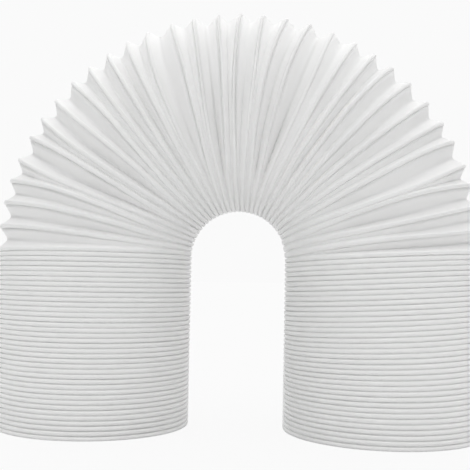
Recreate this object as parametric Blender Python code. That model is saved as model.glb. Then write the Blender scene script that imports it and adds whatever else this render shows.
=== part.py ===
"""Air conditioner exhaust hose: a pleated plastic duct bent into an arch and stood on its two open ends.

Frame: X runs from the left leg to the right leg, Y is level and square to the arch, Z is up.
The origin is on the floor, halfway between the legs. Sizes are in metres.
"""

import math

import bmesh
import bpy

# Driving sizes
OUTER_DIAMETER = 0.150  # over the outer edges of the folds
CLOSED_PITCH = 0.0036  # from one outer fold edge to the next where the hose is pushed together
CLOSED_DEPTH = 0.0112  # from the outer to the inner edge of a fold that is pushed together
GROOVE_DEPTH = 0.0026  # between two folds that touch
OPEN_DEPTH = 0.0066  # depth of a fold on the outer side of the bend, where it opens the most
LEAN = 0.16  # how far the film's deepest line lies off the middle of an open fold, in folds
SAG = 0.0037  # how far the pressed folds under the top of the bend stand out toward the floor
WALL = 0.001  # the plastic film
LEFT_FOLDS = 37  # closed folds in the left leg, which ends half a fold lower
RIGHT_FOLDS = 36  # the same in the right leg
BEND_FOLDS = 32  # folds in the half turn over the top
SEGMENTS = 20  # flats around each ring

# Sizes that follow
RADIUS = OUTER_DIAMETER / 2
BORE_RADIUS = RADIUS - CLOSED_DEPTH - WALL
FOLD_ANGLE = math.pi / BEND_FOLDS
BEND_RADIUS = RADIUS + CLOSED_PITCH / FOLD_ANGLE  # the folds stay closed on the inner side of the bend
OPEN_PITCH = (BEND_RADIUS + RADIUS) * FOLD_ANGLE
LEG_HEIGHT = CLOSED_PITCH * (LEFT_FOLDS + RIGHT_FOLDS + 1) / 2  # both legs, with the half folds at their feet

ANGLES = [2 * math.pi * k / SEGMENTS for k in range(SEGMENTS)]  # 0 is the outer side of the bend


def fold_pitch(angle):
    """Distance between outer fold edges in the bend, at this angle around the ring."""
    return (BEND_RADIUS + RADIUS * math.cos(angle)) * FOLD_ANGLE


def openness(angle):
    """0 on the inner side of the bend, where the folds touch, and 1 on its outer side."""
    return (fold_pitch(angle) - CLOSED_PITCH) / (OPEN_PITCH - CLOSED_PITCH)


def fold_depth(angle):
    return GROOVE_DEPTH + (OPEN_DEPTH - GROOVE_DEPTH) * openness(angle)


def film_shift(angle):
    """Thickness of the sloping film, measured along the ring's radius."""
    return WALL * math.hypot(1, fold_depth(angle) / (fold_pitch(angle) / 2))


def bore_radius(angle, outer_radius):
    """The film's inner side where the folds are open, and the inner fold edges where they touch."""
    touching = max(1 - 2 * openness(angle), 0)
    return touching * BORE_RADIUS + (1 - touching) * (outer_radius - film_shift(angle))


def bend_radius(angle, turn):
    """Radius of a fold edge in the bend: the folds are pressed outward on its inner side, most at the top."""
    return RADIUS + SAG * max(-math.cos(angle), 0) ** 2 * math.sin(turn)


def leg_ring(side, height, radius):
    """A level ring in a leg: side is -1 for the left leg and 1 for the right leg."""
    return [
        (
            side * (BEND_RADIUS + radius * math.cos(angle)),
            radius * math.sin(angle),
            height,
        )
        for angle in ANGLES
    ]


def leg_rings(side, folds):
    """Grooves and fold edges by turns, from the groove that a leg is cut off in to its top."""
    rings = []
    for k in range(2 * folds + 2):
        height = LEG_HEIGHT * k / (2 * folds + 1)
        rings.append(leg_ring(side, height, RADIUS if k % 2 else RADIUS - GROOVE_DEPTH))
    return rings


def bend_ring(k, bore):
    """The ring k half folds from the top of the left leg: a fold edge where k is even, else a deepest line.

    The deepest line lies nearer the edge that faces the floor.
    """
    ring = []
    for angle in ANGLES:
        turn = math.pi - k * FOLD_ANGLE / 2
        radius = bend_radius(angle, turn)
        if k % 2:
            toward_floor = max(-1, min(2 * math.cos(turn), 1)) * min(4 * openness(angle), 1)
            turn -= LEAN * FOLD_ANGLE * toward_floor
            radius -= fold_depth(angle)
        if bore:
            radius = bore_radius(angle, radius)
        reach = BEND_RADIUS + radius * math.cos(angle)
        ring.append(
            (
                reach * math.cos(turn),
                radius * math.sin(angle),
                LEG_HEIGHT + reach * math.sin(turn),
            )
        )
    return ring


def outer_rings():
    """Rings from the foot of the left leg, over the bend, to the foot of the right leg."""
    bend = [bend_ring(k, False) for k in range(1, 2 * BEND_FOLDS)]
    return leg_rings(-1, LEFT_FOLDS) + bend + leg_rings(1, RIGHT_FOLDS)[::-1]


def inner_rings():
    """The bore in the same order: plain where the folds are pushed together, folded in the bend."""
    bend = [bend_ring(k, True) for k in range(1, 2 * BEND_FOLDS)]
    left = [leg_ring(-1, 0, BORE_RADIUS), leg_ring(-1, LEG_HEIGHT, BORE_RADIUS)]
    right = [leg_ring(1, LEG_HEIGHT, BORE_RADIUS), leg_ring(1, 0, BORE_RADIUS)]
    return left + bend + right


def loft(mesh, rings):
    """Joins each ring to the next, and returns the first and the last ring's corners."""
    rows = [[mesh.verts.new(point) for point in ring] for ring in rings]
    for row, following in zip(rows, rows[1:]):
        bridge(mesh, row, following)
    return rows[0], rows[-1]


def bridge(mesh, row, following):
    for k in range(SEGMENTS):
        after = (k + 1) % SEGMENTS
        mesh.faces.new((row[k], row[after], following[after], following[k]))


def clear_scene():
    for found in list(bpy.data.objects):
        bpy.data.objects.remove(found)


def white_plastic():
    material = bpy.data.materials.new("white_plastic")
    material.use_nodes = True
    shader = material.node_tree.nodes["Principled BSDF"]
    shader.inputs["Base Color"].default_value = (0.86, 0.86, 0.85, 1)
    shader.inputs["Roughness"].default_value = 0.45
    return material


def make_hose(collection):
    mesh = bmesh.new()
    outer_foot, outer_end = loft(mesh, outer_rings())
    inner_foot, inner_end = loft(mesh, inner_rings())
    bridge(mesh, outer_foot, inner_foot)
    bridge(mesh, outer_end, inner_end)
    bmesh.ops.recalc_face_normals(mesh, faces=mesh.faces)
    data = bpy.data.meshes.new("hose")
    mesh.to_mesh(data)
    mesh.free()
    data.shade_smooth()
    data.materials.append(white_plastic())
    collection.objects.link(bpy.data.objects.new("hose", data))


def main():
    clear_scene()
    collection = bpy.data.collections.new("air_conditioner_exhaust_hose")
    bpy.context.scene.collection.children.link(collection)
    make_hose(collection)


main()
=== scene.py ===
"""The looks of the air conditioner exhaust hose: pleated white film, pale floor, soft light and camera.

The hose is one mesh of rings. Its folds are counted from the left foot, over the bend, to the right foot, and
a place in a fold is a share from 0 to 1 in that direction. Most functions return one value for each angle
around a ring, where angle 0 is the outer side of the bend. A fold's openness is 0 where the folds touch and 1
on the outer side of the bend. Sizes are in metres.
"""

import math

import bpy
import numpy as np
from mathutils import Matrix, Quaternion, Vector


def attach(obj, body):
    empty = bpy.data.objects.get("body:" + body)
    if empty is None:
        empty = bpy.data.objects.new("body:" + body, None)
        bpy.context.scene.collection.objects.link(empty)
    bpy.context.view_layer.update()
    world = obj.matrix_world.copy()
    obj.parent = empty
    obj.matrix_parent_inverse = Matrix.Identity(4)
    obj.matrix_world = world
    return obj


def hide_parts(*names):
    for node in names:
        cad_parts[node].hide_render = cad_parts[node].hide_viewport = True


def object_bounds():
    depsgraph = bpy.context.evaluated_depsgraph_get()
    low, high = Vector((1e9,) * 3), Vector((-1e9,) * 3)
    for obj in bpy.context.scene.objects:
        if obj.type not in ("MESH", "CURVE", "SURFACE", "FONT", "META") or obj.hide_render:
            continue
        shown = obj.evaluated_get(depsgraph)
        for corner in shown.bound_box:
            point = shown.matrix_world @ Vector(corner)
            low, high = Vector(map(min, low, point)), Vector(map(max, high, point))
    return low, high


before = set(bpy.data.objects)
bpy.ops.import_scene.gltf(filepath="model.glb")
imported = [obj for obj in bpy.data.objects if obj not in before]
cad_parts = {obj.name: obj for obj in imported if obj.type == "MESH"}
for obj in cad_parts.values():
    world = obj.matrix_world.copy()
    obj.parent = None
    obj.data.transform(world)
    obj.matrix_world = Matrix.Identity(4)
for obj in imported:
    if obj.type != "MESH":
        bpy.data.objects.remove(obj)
cad_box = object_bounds()

# The hose's sizes, from the frame, whose origin is on the floor between the two legs
HALF_WIDTH, RADIUS, HEIGHT = cad_box[1]
LEFT_FOLDS = 37
BEND_FOLDS = 32
RIGHT_FOLDS = 36
BEND_END = LEFT_FOLDS + BEND_FOLDS
FOLDS = BEND_END + RIGHT_FOLDS
FOLD_ANGLE = math.pi / BEND_FOLDS
BEND_RADIUS = HALF_WIDTH - RADIUS
LEG_HEIGHT = HEIGHT - HALF_WIDTH
CLOSED_PITCH = (BEND_RADIUS - RADIUS) * FOLD_ANGLE
OPEN_PITCH = HALF_WIDTH * FOLD_ANGLE
LEFT_PITCH = LEG_HEIGHT / (LEFT_FOLDS + 0.5)
RIGHT_PITCH = LEG_HEIGHT / (RIGHT_FOLDS + 0.5)
MOST_OPEN = 1.3  # openness that an uneven fold may reach

# Below, a pair that says where something GROWS, FORMS, OPENS, EASES or ENDS is a span of openness

# The film, and how far its pressed folds stand out toward the floor under the top of the bend
FILM = 0.0006
THICKEST_FILM = 0.003  # measured along the ring's radius, where the film is steep
SAG = 0.0037

# Depth of the folds, with pairs of openness and depth for the folds that begin to open
CLOSED_DEPTH = 0.0112  # inside the hose, where the outer side shows only a groove
CLOSED_GROOVE = 0.00045
PRESSED_GROOVE_LOSS = 0.6
DEPTH_STEPS = ((0.12, 0.0009), (0.3, 0.0024), (0.5, 0.0043), (0.7, 0.0061))
OPEN_DEPTH = 0.0066
BORE_OPENS = (0, 0.5)

# Shape of the valleys: how round they are at each openness, and how far they lean toward the floor, in folds
VALLEY_ROUNDING = ((0.2, 0.08), (0.6, 0.12), (1, 0.26))
SLOPE_STARTS = (0.6, 0.8)  # shares of a bead's reach toward the crown and toward the floor
LEAN = 0.22
OUTER_LEAN_LOSS = 0.8
LEAN_GROWS = (0, 0.35)
CROWN_WAVE = 0.8  # how much of the crown's valleys is a plain wave
WAVE_GROWS = (0.6, 0.95)

# Narrow wedges that fall in between the crown's half-open folds
WEDGE = 0.0036
WEDGE_SHARPNESS = 2.5
WEDGE_FLANK_LOSS = 0.8
WEDGE_GROWS = (0.05, 0.25)
WEDGE_ENDS = (0.5, 0.8)

# Unevenness: random numbers for each fold and fold edge, and what they change
SEED = 11
LARGEST_CHANCE = 1.7
DEPTH_CHANCE = 0.28
OUTER_DEPTH_CALM = 0.16
WEDGE_CHANCE = 0.5
VALLEY_CHANCE = 0.09
STRAY_SHIFT = 0.08
STRAY_TILT = 0.176
STRAY_CURVE = 0.08
STRAY_GROWS = (0.02, 0.35)
STRAY_LOSS = 0.6
STRAY_EASES = (0.6, 1)
SINK = 0.0018
SINK_GROWS = (0, 0.25)
SINK_ENDS = (0.4, 0.9)

# The folds at the top of the right leg tilt up on the outer side of the arch, less so over some open folds
RIGHT_TILT = 0.0042
TILT_RUN = 4

# How fast the crown's shapes give way to those of the bend's two sides, how fast the folds on the inner side
# are pressed on each other, and where the arch's rim is, as a span of the cosine of the angle to that side
FLANK_GAIN = 2
PRESSING_GAIN = 3
ARCH_RIM = (0.7, 0.95)

# The bead on each fold edge
BEAD = 0.0036
BEAD_LEAN = 0.0005
BEAD_HEIGHT = 0.0004
BEAD_FORMS = (0, 0.3)
CROWN_BEAD_LOSS = 0.45
BEAD_SIDES = (0.3, 0.8)  # shares of its reach toward the crown and toward the floor, where it begins to end
BEAD_FALL = 0.0006
PRESSED_FALL_LOSS = 0.4
FALL_SHARPNESS = 1.5

# The crease along the side of a bead that faces the floor, and a second one over the crown's beads
CREASE_WIDTH = 0.00034
CLOSED_CREASE = 0.0006
OPEN_CREASE = 0.0009
CREASE_OPENS = (0, 0.5)
PRESSED_CREASE_LOSS = 0.5
RIM_CREASE_GAIN = 0.8
CROWN_CREASE_GAIN = 0.4
SECOND_CREASE_GROWS = (0.4, 0.8)
CREASE_STRENGTH = 1.05
CREASE_CHANCE = 0.45
CREASE_TURN = 4
CREASE_LIMITS = (0.3, 1.25)

# Where shade is painted on the plastic
CROWN_PAINTED_SHADE_GROWS = (0.3, 0.7)
BEAD_PAINTED_SHADE_SIDE = (0.7, 1.1)  # shares of a bead's reach, over which its painted shade fades
CREASE_PAINTED_SHADE_GROWS = (0, 0.4)

# The plastic: its colours, the last two of them painted shade, how many streaks and grains there are in a
# metre, and the film's length up to each end of the legs and the bend, which is short in the legs so that a
# streak covers many of their folds
FILM_COLOUR = (0.99, 0.99, 0.985, 1)
STREAK_COLOUR = (0.96, 0.96, 0.955, 1)
# Painted shade: a greyer colour on the crown's beads, standing in for the shade they take under the light
CROWN_BEAD_PAINTED_SHADE = (0.83, 0.83, 0.825, 1)
# Painted shade: a darker colour in the crease under each bead, where shade falls
CREASE_PAINTED_SHADE = (0.9, 0.9, 0.895, 1)
STREAKS = (25, 25, 150)
GRAIN = 1800
NOISE_DETAIL = 2
FILM_LENGTHS = (0, 0.03, 0.4, 0.43)
ROUGHNESS = (0.36, 0.5)
ROUGHNESS_SPAN = (0.3, 0.7)
STREAK_BUMP = 0.0001
GRAIN_BUMP = 0.000015
SCATTER_SHARE = 0.25
SCATTER_DEPTH = 0.0012

# The mesh: flats around a ring, a multiple of 4 so that rings reach the full width, depth and height, and the
# rings of a fold, as shares of the fold or of a stretch of it, or as distances from its crease
SEGMENTS = 56
FILM_ROWS = (0, 0.035, 0.07, 0.105, 0.14, 0.19, 0.25, 0.33, 0.4, 0.46, 0.52, 0.58, 0.68, 0.83)
CREASE_ROWS = (-0.00044, -0.00022, 0, 0.00022, 0.0005)
BEAD_ROWS = (0.35, 0.7)
LEG_ROWS = (0, 0.18, 0.27, 0.33, 0.361, 0.4, 0.5, 0.72)
BEND_BORE_ROWS = (0, 0.12, 0.3, 0.5, 0.7, 0.88)
LEG_BORE_ROWS = (0, 0.2, 0.5, 0.8)
SLOPE_STEP = 0.01
SMALLEST_RUN = 1e-6

# Light from above and from behind, and what the sides lack: spans of the direction, and the strengths there
LIGHT_ABOVE = ((0.1, 0.8), (0.33, 1.33))
LIGHT_BEHIND = ((0.3, 1), (0, 0.9))
SHADE_ASIDE = ((0.4, 1), (0, 0.2))
WHITE = (1, 1, 1, 1)

# The backdrop, and the floor: what lights the object, and the glow with a faint shade that the camera sees
BACKDROP = 0.957
FLOOR_HALF = 30
FLOOR_LIT = (0.78, 0.78, 0.78, 1)
FLOOR_SHADE = (0.05, 0.05, 0.05, 1)
FLOOR_GLOW = 0.91

# The camera, with its angles in degrees and its focal length in pixels of the photo
CAMERA_PLACE = (0.0355, -0.6165, 0.1135)
CAMERA_YAW = -3.53
CAMERA_PITCH = 3.19
CAMERA_ROLL = 1.10
FOCAL_PIXELS = 790
PHOTO_WIDTH = 470
SENSOR_WIDTH = 36
CLIP_END = 100

# Values at each angle around a ring
PHI = np.arange(SEGMENTS) * 2 * math.pi / SEGMENTS
OUTER = np.clip(np.cos(PHI), 0, 1)
INNER = np.clip(-np.cos(PHI), 0, 1)
BEND_PITCH = (BEND_RADIUS + RADIUS * np.cos(PHI)) * FOLD_ANGLE
EVEN_OPENNESS = (BEND_PITCH - CLOSED_PITCH) / (OPEN_PITCH - CLOSED_PITCH)

# Random numbers for each fold from -1 to FOLDS + 1: the shift, tilt, curve and phase of its first edge, then
# its depth and valley, which also serve for its edge's sink and for the place where its crease runs out
CHANCE = np.random.default_rng(SEED).normal(size=(FOLDS + 3, 6)).clip(-LARGEST_CHANCE, LARGEST_CHANCE)
DEPTH, VALLEY = 4, 5


def smooth(span, value):
    """0 before the span and 1 after it, with a soft rise in between."""
    low, high = span
    t = np.clip((value - low) / (high - low), 0, 1)
    return t * t * (3 - 2 * t)


def in_bend(fold):
    return LEFT_FOLDS <= fold < BEND_END


def on_left(fold):
    return fold < LEFT_FOLDS + BEND_FOLDS / 2


def turned(along):
    """How far round the bend a place is: 0 in the left leg and pi in the right leg."""
    return math.pi * np.clip((along - LEFT_FOLDS) / BEND_FOLDS, 0, 1)


def flank(fold):
    """0 at the crown and 1 on the two sides of the bend and in the legs."""
    return min(FLANK_GAIN * abs(math.cos(turned(fold + 0.5))), 1)


def pressing(fold):
    """0 in the legs and 1 over most of the bend, where the folds of the inner side press on each other."""
    return min(PRESSING_GAIN * math.sin(turned(fold + 0.5)), 1)


def stray(edge):
    """How far a fold edge strays along the hose, in folds."""
    if not LEFT_FOLDS < edge < BEND_END:
        return 0 * PHI
    shift, tilt, curve, phase = CHANCE[edge][:4]
    wave = STRAY_SHIFT * shift + STRAY_TILT * tilt * np.sin(PHI)
    wave += STRAY_CURVE * curve * np.cos(2 * PHI + phase)
    return wave * smooth(STRAY_GROWS, EVEN_OPENNESS) * (1 - STRAY_LOSS * smooth(STRAY_EASES, EVEN_OPENNESS))


def sink(edge):
    """How far a fold edge lies behind its neighbours where the folds begin to close."""
    if not LEFT_FOLDS < edge < BEND_END:
        return 0 * PHI
    part_open = smooth(SINK_GROWS, EVEN_OPENNESS) * (1 - smooth(SINK_ENDS, EVEN_OPENNESS))
    return SINK * max(CHANCE[edge][VALLEY], 0) * part_open


def fold_pitch(fold):
    """Distance between the fold's outer edges."""
    if in_bend(fold):
        return BEND_PITCH * (1 + stray(fold + 1) - stray(fold))
    return 0 * PHI + (LEFT_PITCH if on_left(fold) else RIGHT_PITCH)


def openness(fold):
    return np.clip((fold_pitch(fold) - CLOSED_PITCH) / (OPEN_PITCH - CLOSED_PITCH), 0, MOST_OPEN)


def from_edges(fold, x):
    """Distances of a place from the fold's edge nearer the floor and from its edge nearer the crown."""
    up = x if on_left(fold) else 1 - x
    return up * fold_pitch(fold), (1 - up) * fold_pitch(fold)


def bead_edges(fold):
    """How far a bead reaches from its fold edge toward the crown and toward the floor."""
    narrowed = CROWN_BEAD_LOSS * (1 - flank(fold)) * smooth(BEAD_FORMS, openness(fold))
    half = BEAD / 2 * (1 - narrowed)
    lean = BEAD_LEAN * flank(fold)
    return half - lean, half + lean


def valley(fold):
    """Where the fold is deepest, as a share from its edge nearer the floor to its edge nearer the crown."""
    closed = 0.5 - BEAD_LEAN * flank(fold) / BEAD
    lean = LEAN * flank(fold) * (1 - OUTER_LEAN_LOSS * OUTER**2)
    opened = 0.5 - lean + VALLEY_CHANCE * (1 - flank(fold)) * CHANCE[fold][VALLEY]
    return closed + (opened - closed) * smooth(LEAN_GROWS, openness(fold))


def toward_valley(fold, x):
    """0 at the beads and 1 where the fold is deepest."""
    above, below = from_edges(fold, x)
    top, foot = bead_edges(fold)
    start, end = SLOPE_STARTS[0] * top, SLOPE_STARTS[1] * foot
    pitch = fold_pitch(fold)
    deepest = valley(fold) * pitch
    rise = (above - start) / np.maximum(deepest - start, SMALLEST_RUN)
    fall = (below - end) / np.maximum(pitch - deepest - end, SMALLEST_RUN)
    return np.clip(np.where(above < deepest, rise, fall), 0, 1)


def fold_depth(fold):
    groove = CLOSED_GROOVE * (1 - PRESSED_GROOVE_LOSS * pressing(fold))
    stops, depths = zip((0, groove), *DEPTH_STEPS, (1, OPEN_DEPTH))
    uneven = (DEPTH_CHANCE - OUTER_DEPTH_CALM * OUTER) * CHANCE[fold][DEPTH]
    depth = np.interp(openness(fold), stops, depths) * (1 + uneven)
    return depth - BEAD_HEIGHT * smooth(BEAD_FORMS, openness(fold))


def scallop(fold, x):
    """How far the film between two beads lies inside them."""
    opened = openness(fold)
    inside = toward_valley(fold, x)
    rounding = np.interp(opened, *zip(*VALLEY_ROUNDING))
    edge = np.hypot(1, rounding)
    slope = (edge - np.hypot(1 - inside, rounding)) / (edge - rounding)
    wave = 0.5 - 0.5 * np.cos(math.pi * inside)
    wave_share = CROWN_WAVE * (1 - flank(fold)) * smooth(WAVE_GROWS, opened)
    return fold_depth(fold) * (slope + wave_share * (wave - slope))


def wedge(fold, x):
    """How much deeper the crown's half-open folds are along their middle."""
    opened = openness(fold)
    half_open = smooth(WEDGE_GROWS, opened) * (1 - smooth(WEDGE_ENDS, opened))
    deepest = WEDGE * (1 - WEDGE_FLANK_LOSS * flank(fold)) * (1 + WEDGE_CHANCE * CHANCE[fold][DEPTH])
    return deepest * half_open * toward_valley(fold, x) ** WEDGE_SHARPNESS


def bead_drop(fold, x):
    """How far the bead's surface, and the film beside it, lie inside the bead's highest line."""
    above, below = from_edges(fold, x)
    top, foot = bead_edges(fold)
    off_bead = smooth((BEAD_SIDES[0] * top, top), above) * smooth((BEAD_SIDES[1] * foot, foot), below)
    fall = np.clip(below / foot, 0, 1) ** FALL_SHARPNESS * smooth((0, top), above)
    return BEAD_HEIGHT * off_bead + BEAD_FALL * (1 - PRESSED_FALL_LOSS * pressing(fold)) * fall


def crease_line(distance):
    return np.exp(-((distance / CREASE_WIDTH) ** 2))


def crease_strength(fold):
    """How strong a crease is at each angle: in the bend some of them run out."""
    if not in_bend(fold):
        return 1 + 0 * PHI
    turn, strength = CHANCE[fold + 1][[DEPTH, VALLEY]]
    uneven = CREASE_CHANCE * np.cos(PHI + CREASE_TURN * turn) * strength
    return np.clip(CREASE_STRENGTH + uneven, *CREASE_LIMITS)


def crease(fold, x):
    """How deep the creases are at a place."""
    above, below = from_edges(fold, x)
    top, foot = bead_edges(fold)
    opened = openness(fold)
    crown = 1 - flank(fold)
    loss = pressing(fold) * (PRESSED_CREASE_LOSS - RIM_CREASE_GAIN * smooth(ARCH_RIM, INNER))
    pressed = CLOSED_CREASE * (1 - loss)
    free = OPEN_CREASE * (1 + CROWN_CREASE_GAIN * crown)
    deepest = pressed + (free - pressed) * smooth(CREASE_OPENS, opened)
    first = crease_strength(fold) * crease_line(below - foot)
    second = crown * smooth(SECOND_CREASE_GROWS, opened) * crease_line(above - top)
    return deepest * (first + second)


def drop(fold, x):
    """How far the film lies inside an even hose's fold edges."""
    sunk = (1 - x) * sink(fold) + x * sink(fold + 1)
    return scallop(fold, x) + wedge(fold, x) + bead_drop(fold, x) + crease(fold, x) + sunk


def bore_drop(fold, x):
    """The same for the bore: film thickness where the folds are open, a full pleat where they touch."""
    after, before = np.minimum(x + SLOPE_STEP, 1), np.maximum(x - SLOPE_STEP, 0)
    slope = (drop(fold, after) - drop(fold, before)) / (2 * SLOPE_STEP * fold_pitch(fold))
    film = np.minimum(FILM * np.hypot(1, slope), THICKEST_FILM)
    closed = 1 - smooth(BORE_OPENS, openness(fold))
    pleat = CLOSED_DEPTH - CLOSED_GROOVE * (1 - np.sin(math.pi * np.clip(x, 0, 1)))
    return closed * pleat + (1 - closed) * (drop(fold, x) + film)


def place(along, radius):
    """Points on the ring at this distance along the hose, counted in folds."""
    reach = BEND_RADIUS + radius * np.cos(PHI)
    turn = math.pi - turned(along)
    before, after = np.minimum(along - LEFT_FOLDS, 0), np.minimum(BEND_END - along, 0)
    height = LEG_HEIGHT + before * LEFT_PITCH + after * RIGHT_PITCH
    below_bend = along - BEND_END
    tilted = smooth((-TILT_RUN, 0), below_bend) * (1 - smooth((RIGHT_FOLDS / 3, RIGHT_FOLDS), below_bend))
    height = height + RIGHT_TILT * tilted * np.cos(PHI)
    return np.stack([reach * np.cos(turn), radius * np.sin(PHI), height + reach * np.sin(turn)], axis=-1)


def painted_shade_shares(fold, x):
    """Where shade is painted on the plastic: on the crown's beads, and in the crease beside a bead."""
    above, below = from_edges(fold, x)
    top, foot = bead_edges(fold)
    near, far = BEAD_PAINTED_SHADE_SIDE
    off_bead = smooth((near * top, far * top), above) * smooth((near * foot, far * foot), below)
    # painted shade on the crown's beads
    bead = (1 - flank(fold)) * smooth(CROWN_PAINTED_SHADE_GROWS, openness(fold)) * (1 - off_bead)
    # painted shade in the crease under a bead
    in_crease_painted_shade = smooth(CREASE_PAINTED_SHADE_GROWS, openness(fold)) * crease_line(below - foot)
    return np.stack([bead, in_crease_painted_shade, 0 * PHI], axis=-1)


def ring(fold, x, bore):
    """Points on a ring, then the crown bead's and the crease's shares of painted shade, then the film's own
    measure.
    """
    inward = bore_drop(fold, x) if bore else drop(fold, x)
    along = fold + x + (1 - x) * stray(fold) + x * stray(fold + 1)
    sag = SAG * INNER**2 * np.sin(turned(along))
    length = np.interp(along, (0, LEFT_FOLDS, BEND_END, FOLDS), FILM_LENGTHS)
    film = np.stack([RADIUS * np.cos(PHI), RADIUS * np.sin(PHI), length], axis=-1)
    return place(along, RADIUS + sag - inward), painted_shade_shares(fold, x), film


def rows(fold, bore):
    """Where the mesh's rings lie in a fold: close together in the crease under a bead."""
    if bore:
        return BEND_BORE_ROWS if in_bend(fold) else LEG_BORE_ROWS
    shares = LEG_ROWS
    if in_bend(fold):
        pitch = fold_pitch(fold)
        middle = 1 - bead_edges(fold)[1] / pitch
        creased = [middle + far / pitch for far in CREASE_ROWS]
        first, last = creased[0], creased[-1]
        shares = [t * first for t in FILM_ROWS] + creased + [last + t * (1 - last) for t in BEAD_ROWS]
    if on_left(fold):
        return shares
    return [0 * PHI] + [1 - share for share in reversed(shares[1:])]


def rings(bore):
    """From the left foot to the right foot. Both feet end halfway through a fold, in a groove."""
    made = []
    for fold in range(-1, FOLDS + 1):
        for x in rows(fold, bore):
            if -0.5 <= fold + np.mean(x) <= FOLDS + 0.5:
                made.append(ring(fold, x, bore))
    return np.array(made)  # ring, then points, painted shade and film, then angle, then coordinates


def strip(first, second):
    """Faces between two rings, which are counted from the left foot's outer ring."""
    near = np.arange(SEGMENTS)
    far = (near + 1) % SEGMENTS
    first, second = first * SEGMENTS, second * SEGMENTS
    return np.stack([first + near, first + far, second + far, second + near], -1)


def strips(start, end):
    """Faces between each ring and the next."""
    return [strip(row, row + 1) for row in range(start, end - 1)]


def hose_mesh():
    outer, inner = rings(False), rings(True)
    inner[:, 1] = 0  # the bore has no painted shade
    both = np.concatenate([outer, inner])
    count, total = len(outer), len(both)
    faces = strips(0, count)
    faces += [quads[:, ::-1] for quads in strips(count, total)]  # turned to face the bore
    faces += [strip(count, 0), strip(count - 1, total - 1)]  # the film's edge at the two feet
    mesh = bpy.data.meshes.new("hose_film")
    mesh.from_pydata(both[:, 0].reshape(-1, 3).tolist(), [], np.concatenate(faces).tolist())
    mesh.validate()
    mesh.shade_smooth()
    for name, values in (("painted_shade_shares", both[:, 1]), ("film", both[:, 2])):
        mesh.attributes.new(name, "FLOAT_VECTOR", "POINT").data.foreach_set("vector", values.ravel())
    return mesh


def add_attribute(tree, name):
    node = tree.nodes.new("ShaderNodeAttribute")
    node.attribute_name = name
    return node.outputs["Vector"]


def add_noise(tree, scale, coordinates):
    node = tree.nodes.new("ShaderNodeTexNoise")
    node.inputs["Scale"].default_value = scale
    node.inputs["Detail"].default_value = NOISE_DETAIL
    tree.links.new(coordinates, node.inputs["Vector"])
    return node.outputs["Fac"]


def add_ramp(tree, value, span, results):
    """Maps a value from one span to another."""
    node = tree.nodes.new("ShaderNodeMapRange")
    node.inputs["From Min"].default_value, node.inputs["From Max"].default_value = span
    node.inputs["To Min"].default_value, node.inputs["To Max"].default_value = results
    tree.links.new(value, node.inputs["Value"])
    return node


def plastic_colour_and_painted_shade(tree, streaks):
    """Streaks in the film's colour, then the painted shade on the crown's beads and in the creases."""
    shares = tree.nodes.new("ShaderNodeSeparateXYZ")
    tree.links.new(add_attribute(tree, "painted_shade_shares"), shares.inputs["Vector"])
    layers = (
        (STREAK_COLOUR, streaks),
        (CROWN_BEAD_PAINTED_SHADE, shares.outputs["X"]),
        (CREASE_PAINTED_SHADE, shares.outputs["Y"]),
    )
    under = None
    for colour, share in layers:
        mix = tree.nodes.new("ShaderNodeMix")
        mix.data_type = "RGBA"
        mix.inputs["A"].default_value = FILM_COLOUR
        if under:
            tree.links.new(under, mix.inputs["A"])
        mix.inputs["B"].default_value = colour
        tree.links.new(share, mix.inputs["Factor"])
        under = mix.outputs["Result"]
    return under


def plastic():
    """White film with faint streaks along the folds: painted shade makes the crown's beads greyer and the
    creases darker.
    """
    material = bpy.data.materials.new("white_film")
    material.use_nodes = True
    tree = material.node_tree
    shader = tree.nodes["Principled BSDF"]
    shader.inputs["Subsurface Weight"].default_value = SCATTER_SHARE
    shader.inputs["Subsurface Radius"].default_value = (1, 1, 1)
    shader.inputs["Subsurface Scale"].default_value = SCATTER_DEPTH
    film = add_attribute(tree, "film")
    stretched = tree.nodes.new("ShaderNodeVectorMath")
    stretched.operation = "MULTIPLY"
    stretched.inputs[1].default_value = STREAKS
    tree.links.new(film, stretched.inputs[0])
    streaks = add_noise(tree, 1, stretched.outputs["Vector"])  # already to scale
    grain = add_noise(tree, GRAIN, film)
    tree.links.new(plastic_colour_and_painted_shade(tree, streaks), shader.inputs["Base Color"])
    rough = add_ramp(tree, streaks, ROUGHNESS_SPAN, ROUGHNESS)
    tree.links.new(rough.outputs["Result"], shader.inputs["Roughness"])
    normal = None
    for height, deep in ((streaks, STREAK_BUMP), (grain, GRAIN_BUMP)):
        bump = tree.nodes.new("ShaderNodeBump")
        bump.inputs["Distance"].default_value = deep
        tree.links.new(height, bump.inputs["Height"])
        if normal:
            tree.links.new(normal, bump.inputs["Normal"])
        normal = bump.outputs["Normal"]
    tree.links.new(normal, shader.inputs["Normal"])
    return material


def make_hose():
    hose = bpy.data.objects.new("hose_film", hose_mesh())
    bpy.context.scene.collection.objects.link(hose)
    hose.data.materials.append(plastic())
    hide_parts("hose")
    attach(hose, "root")


def seen_and_lit(tree, seen, lit):
    """Mixes two shaders of the studio: one for what the camera sees, one for what lights the object."""
    path = tree.nodes.new("ShaderNodeLightPath")
    mix = tree.nodes.new("ShaderNodeMixShader")
    tree.links.new(path.outputs["Is Camera Ray"], mix.inputs["Fac"])
    tree.links.new(lit.outputs[0], mix.inputs[1])
    tree.links.new(seen.outputs[0], mix.inputs[2])
    return mix


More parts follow.
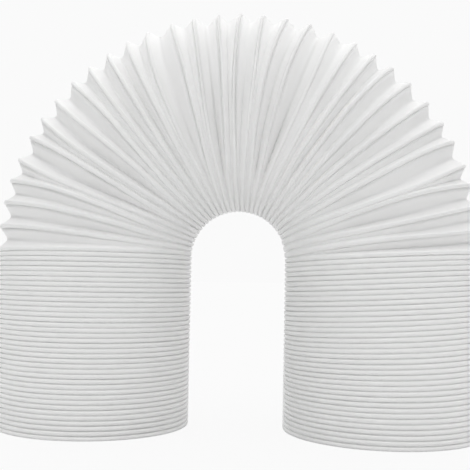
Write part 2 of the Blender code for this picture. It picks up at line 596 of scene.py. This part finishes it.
def floor_material():
    material = bpy.data.materials.new("floor")
    material.use_nodes = True
    tree = material.node_tree
    tree.nodes.clear()
    lit = tree.nodes.new("ShaderNodeBsdfDiffuse")
    lit.inputs["Color"].default_value = FLOOR_LIT
    shade = tree.nodes.new("ShaderNodeBsdfDiffuse")
    shade.inputs["Color"].default_value = FLOOR_SHADE
    glow = tree.nodes.new("ShaderNodeEmission")
    glow.inputs["Color"].default_value = WHITE
    glow.inputs["Strength"].default_value = FLOOR_GLOW
    seen = tree.nodes.new("ShaderNodeAddShader")
    tree.links.new(shade.outputs[0], seen.inputs[0])
    tree.links.new(glow.outputs[0], seen.inputs[1])
    out = tree.nodes.new("ShaderNodeOutputMaterial")
    tree.links.new(seen_and_lit(tree, seen, lit).outputs[0], out.inputs["Surface"])
    return material


def make_floor():
    mesh = bpy.data.meshes.new("floor")
    corners = [(-1, -1), (1, -1), (1, 1), (-1, 1)]
    mesh.from_pydata([(x * FLOOR_HALF, y * FLOOR_HALF, 0) for x, y in corners], [], [(0, 1, 2, 3)])
    floor = bpy.data.objects.new("floor", mesh)
    bpy.context.scene.collection.objects.link(floor)
    floor.data.materials.append(floor_material())


def add_math(tree, operation, *values):
    node = tree.nodes.new("ShaderNodeMath")
    node.operation = operation
    for value, socket in zip(values, node.inputs):
        tree.links.new(value, socket)
    return node.outputs[0]


def add_light(tree, direction, light):
    """Strength that changes softly with the direction that the light comes from."""
    ramp = add_ramp(tree, direction, *light)
    ramp.interpolation_type = "SMOOTHSTEP"
    return ramp.outputs["Result"]


def make_world():
    world = bpy.data.worlds.new("studio")
    bpy.context.scene.world = world
    world.use_nodes = True
    tree = world.node_tree
    coords = tree.nodes.new("ShaderNodeTexCoord")
    split = tree.nodes.new("ShaderNodeSeparateXYZ")
    tree.links.new(coords.outputs["Generated"], split.inputs["Vector"])
    across, back, up = split.outputs
    above = add_light(tree, up, LIGHT_ABOVE)
    behind = add_light(tree, add_math(tree, "SUBTRACT", back, up), LIGHT_BEHIND)
    aside = add_light(tree, add_math(tree, "ABSOLUTE", across), SHADE_ASIDE)
    strength = add_math(tree, "SUBTRACT", add_math(tree, "ADD", above, behind), aside)
    lit = tree.nodes["Background"]
    lit.inputs["Color"].default_value = WHITE
    tree.links.new(strength, lit.inputs["Strength"])
    seen = tree.nodes.new("ShaderNodeBackground")
    seen.inputs["Color"].default_value = WHITE
    seen.inputs["Strength"].default_value = BACKDROP
    mix = seen_and_lit(tree, seen, lit)
    tree.links.new(mix.outputs[0], tree.nodes["World Output"].inputs["Surface"])
    bpy.context.scene.view_settings.view_transform = "Standard"


def make_camera():
    data = bpy.data.cameras.new("camera")
    camera = bpy.data.objects.new("camera", data)
    bpy.context.scene.collection.objects.link(camera)
    yaw, pitch, roll = map(math.radians, (CAMERA_YAW, CAMERA_PITCH, CAMERA_ROLL))
    look = Vector((math.sin(yaw) * math.cos(pitch), math.cos(yaw) * math.cos(pitch), math.sin(pitch)))
    camera.location = CAMERA_PLACE
    camera.rotation_mode = "QUATERNION"
    camera.rotation_quaternion = look.to_track_quat("-Z", "Y") @ Quaternion((0, 0, 1), roll)
    data.sensor_width = SENSOR_WIDTH
    data.lens = SENSOR_WIDTH * FOCAL_PIXELS / PHOTO_WIDTH
    data.clip_end = CLIP_END
    bpy.context.scene.camera = camera


make_hose()
make_floor()
make_world()
make_camera()
